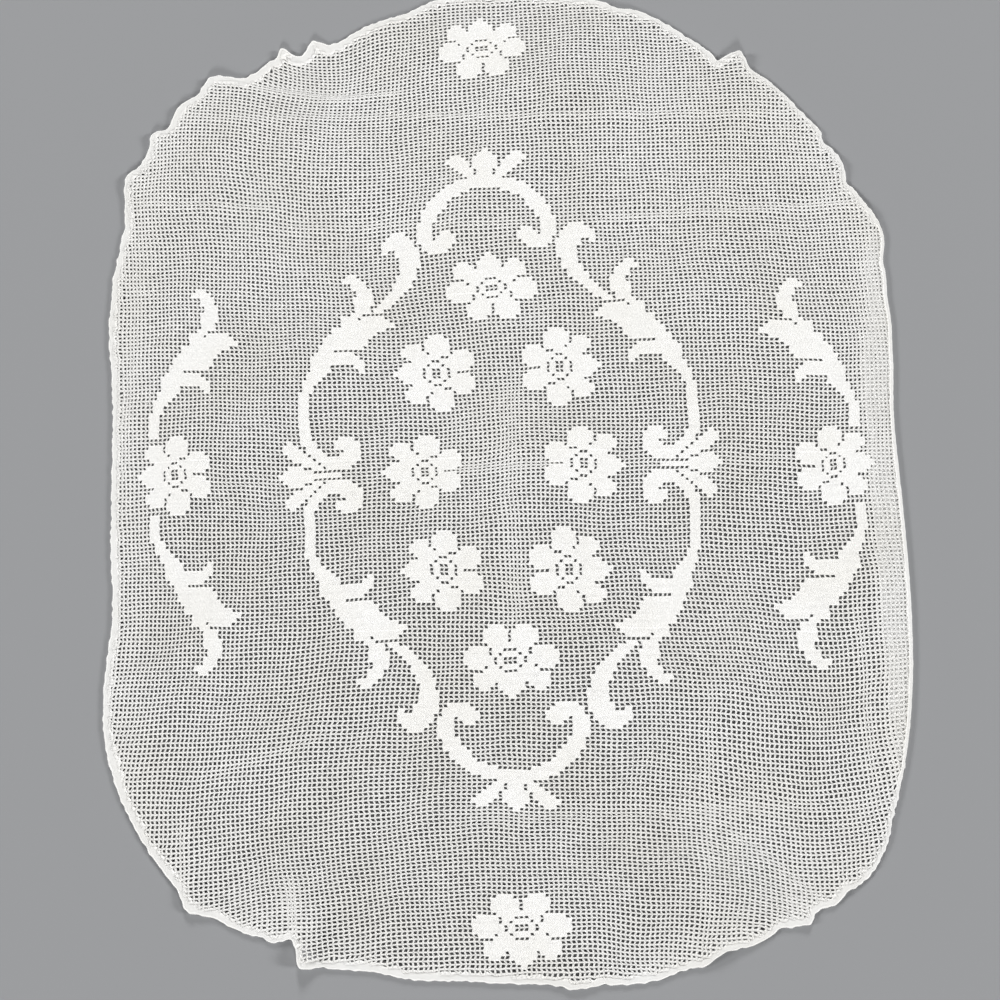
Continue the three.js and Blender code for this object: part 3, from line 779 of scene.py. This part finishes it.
under_reach = turned_depth(knot_turns) - UNDER_HEM_WIDTH + HEM_OVERLAP
past_fold = (knot_insets < -FOLD_START) & (-knot_insets < under_reach)
turned = past_fold & (turned_share(knot_turns) > STRIP_FROM_SHARE)
under_net = Net(folded_back(knots), np.zeros_like(knot_insets), turned, np.zeros_like(filled_cells),
                UNDER_FULLNESS * fullness / closeness(knots), UNDER_PRESS)
threads = Threads()
cells = under_net.add_rows(threads, np.flatnonzero(turned.sum(axis=1) >= LEAST_KNOTS))
strip = threads.piece("turned_strip")

# The hem: close stitches worked round the edge in the same thread, a little uneven in reach, with a
# narrower pressed rim where the edge is a fold. The strip's own hem lies inside that fold, underneath.
HEM_STITCH = 2.4
SECTIONS_PER_STITCH = 2
HEM_RIDGE, RIDGED_ABOVE = 0.09, 0.5
HEM_SLANT = 1.2
HEM_SECTION = [
    dict(back=1.0, height=2.3),
    dict(back=0.62, height=2.95),
    dict(back=0.25, height=2.75),
    dict(back=0.0, height=1.6),
    dict(back=0.15, height=0.5),
    dict(back=0.8, height=0.4),
]
UNDER_SECTION_SHARE = 0.42
HEM_UNEVEN_IN, HEM_UNEVEN_OUT = 0.9, 0.45
HEM_UNEVEN_SPAN = 7
FOLD_STEADY = 0.75
EDGE_SAMPLES = 12000


def edge_line(turn, inset):
    reach = edge_reach(turn) - inset
    return on_surface(reach * np.cos(np.radians(turn)), reach * np.sin(np.radians(turn)))


def even_turns(first, last, inset):
    """Turns that step evenly along the line at that inset, from one section of the hem to the next."""
    turns = np.linspace(first, last, EDGE_SAMPLES)
    steps = np.linalg.norm(np.diff(edge_line(turns, inset(turns)), axis=0), axis=1)
    run = np.concatenate([[0], steps.cumsum()])
    sections = SECTIONS_PER_STITCH * round(run[-1] / HEM_STITCH)
    return np.interp(np.linspace(0, run[-1], sections, endpoint=False), run, turns)


def uneven(count, spread):
    """A handworked wander that keeps to that spread and changes over a few stitches."""
    draws = handwork.normal(0, 1, count + HEM_UNEVEN_SPAN - 1)
    wander = np.convolve(draws, np.hanning(HEM_UNEVEN_SPAN + 2)[1:-1], "valid")
    return spread * wander / wander.std()


def add_band(threads, points, looped):
    """Adds one close band by its sections, as (sections, corners, 3) in millimetres."""
    sections, corners = points.shape[:2]
    threads.points.append(points.reshape(-1, 3))
    index = threads.count + np.arange(sections * corners).reshape(sections, corners)
    after = np.roll(index, -1, axis=0)
    quads = np.stack([index, after, np.roll(after, -1, axis=1), np.roll(index, -1, axis=1)], axis=2)
    threads.sides.append((quads if looped else quads[:-1]).reshape(-1, 4))
    if not looped:
        for first, way in ((index[0], 1), (index[-1], -1)):
            fan = np.stack([np.full(corners - 2, first[0]), first[1:-1], first[2:]], axis=1)
            threads.ends.append(fan[:, ::way])
    stitches = np.arange(sections)[:, None] / SECTIONS_PER_STITCH
    threads.plies.append(np.broadcast_to(stitches, (sections, corners)).ravel())
    threads.count += sections * corners


def add_hem(threads, turns, inset, faces, depth, height_share, looped):
    """Adds a hem along a line at that inset; faces is 1 where its edge looks out and -1 where in."""
    line = edge_line(turns, inset(turns))
    run = np.gradient(line, axis=0)
    run = run / np.linalg.norm(run, axis=1, keepdims=True)
    out = np.stack([run[:, 1], -run[:, 0]], axis=1) * faces
    aside = np.stack([-out[:, 1], out[:, 0]], axis=1)
    count = len(turns)
    ridges = np.where(np.arange(count) % 2, HEM_RIDGE, -HEM_RIDGE)[:, None]
    steady = 1 - FOLD_STEADY * turned_share(turns)
    reach_in = depth(turns) + uneven(count, HEM_UNEVEN_IN) * steady
    reach_out = uneven(count, HEM_UNEVEN_OUT) * steady
    back = np.array([row["back"] for row in HEM_SECTION])
    height = np.array([row["height"] for row in HEM_SECTION]) * height_share
    slant = np.linspace(-HEM_SLANT / 2, HEM_SLANT / 2, len(back))
    away = reach_out[:, None] * (1 - back) - reach_in[:, None] * back + ridges * (1 - back)
    flat = line[:, None] + out[:, None] * away[..., None] + aside[:, None] * slant[None, :, None]
    rise = fold_lift(turns[:, None], np.maximum(-away, 0)) if faces > 0 else 0
    ridged = np.array([row["height"] > RIDGED_ABOVE for row in HEM_SECTION])
    points = np.dstack([flat, height + ridges * ridged + rise])
    add_band(threads, points[:, ::faces], looped)


def under_hem_depth(turn):
    return np.full_like(turn, UNDER_HEM_WIDTH)


threads = Threads()
add_hem(threads, even_turns(-180, 180, np.zeros_like), inset=np.zeros_like, faces=1,
        depth=edge_width, height_share=1, looped=True)
hem = threads.piece("hem")
strip_turns = even_turns(TURNED_UNDER[1]["turn"], TURNED_UNDER[-2]["turn"], turned_depth)
threads = Threads()
add_hem(threads, strip_turns, inset=turned_depth, faces=-1,
        depth=under_hem_depth, height_share=UNDER_SECTION_SHARE, looped=False)
under_hem = threads.piece("hem_of_turned_strip")

# The floor under the cloth: a plain pale surface that runs far out, lit by four soft lamps that stand
# low around the cloth and by a sky that is pale near the floor and dims overhead.
FLOOR_HALF = 40.0
FLOOR_GREY, FLOOR_ROUGHNESS = (0.32, 0.325, 0.335, 1), 0.9
floor_mesh = bpy.data.meshes.new("floor")
floor_mesh.from_pydata([(-FLOOR_HALF, -FLOOR_HALF, 0), (FLOOR_HALF, -FLOOR_HALF, 0),
                        (FLOOR_HALF, FLOOR_HALF, 0), (-FLOOR_HALF, FLOOR_HALF, 0)], [], [(0, 1, 2, 3)])
floor = bpy.data.objects.new("floor", floor_mesh)
bpy.context.scene.collection.objects.link(floor)
floor_paint = bpy.data.materials.new("floor_paint")
floor_paint.use_nodes = True
floor_shader = floor_paint.node_tree.nodes["Principled BSDF"]
floor_shader.inputs["Base Color"].default_value = FLOOR_GREY
floor_shader.inputs["Roughness"].default_value = FLOOR_ROUGHNESS
floor_mesh.materials.append(floor_paint)

LAMP_COUNT, LAMP_STRENGTH = 4, 2.33
LAMP_HEIGHT, LAMP_SPREAD = math.radians(18), math.radians(10)
for number in range(LAMP_COUNT):
    lamp = bpy.data.lights.new(f"soft_lamp_{number + 1}", "SUN")
    lamp.energy = LAMP_STRENGTH
    lamp.angle = LAMP_SPREAD
    lamp_stand = bpy.data.objects.new(lamp.name, lamp)
    lamp_stand.rotation_euler = (math.pi / 2 - LAMP_HEIGHT, 0, 2 * math.pi * number / LAMP_COUNT)
    bpy.context.scene.collection.objects.link(lamp_stand)
SKY_TONES = [
    dict(height=0.0, tone=0.32),
    dict(height=0.2, tone=0.28),
    dict(height=0.5, tone=0.03),
]
sky = bpy.data.worlds.new("pale_sky")
sky.use_nodes = True
sky_nodes, sky_links = sky.node_tree.nodes, sky.node_tree.links
direction = sky_nodes.new("ShaderNodeTexCoord")
parts = sky_nodes.new("ShaderNodeSeparateXYZ")
sky_links.new(direction.outputs["Generated"], parts.inputs["Vector"])
sky_tone = sky_nodes.new("ShaderNodeValToRGB")
while len(sky_tone.color_ramp.elements) < len(SKY_TONES):
    sky_tone.color_ramp.elements.new(1.0)
for stop, row in zip(sky_tone.color_ramp.elements, SKY_TONES):
    stop.position = row["height"]
    stop.color = (row["tone"], row["tone"], row["tone"], 1)
sky_links.new(parts.outputs["Z"], sky_tone.inputs["Fac"])
sky_links.new(sky_tone.outputs["Color"], sky_nodes["Background"].inputs["Color"])
bpy.context.scene.world = sky

# The camera: under a metre above the cloth, leaning a little from the near side, with a lens wide
# enough to take in all of it but the middle of the far edge.
CAMERA_DISTANCE = 0.923
CAMERA_LEAN = math.radians(8)
AIM = (-0.0013, -0.055)
IMAGE_SIDE = 1000
FOCAL_PIXELS = 840
SENSOR_WIDTH = 36.0
camera_data = bpy.data.cameras.new("camera")
camera_data.sensor_width = SENSOR_WIDTH
camera_data.lens = SENSOR_WIDTH * FOCAL_PIXELS / IMAGE_SIDE
camera = bpy.data.objects.new("camera", camera_data)
camera.location = (AIM[0], AIM[1] - CAMERA_DISTANCE * math.sin(CAMERA_LEAN),
                   CAMERA_DISTANCE * math.cos(CAMERA_LEAN))
camera.rotation_euler = (CAMERA_LEAN, 0, 0)
bpy.context.scene.collection.objects.link(camera)
bpy.context.scene.camera = camera
bpy.context.scene.view_settings.view_transform = "Standard"
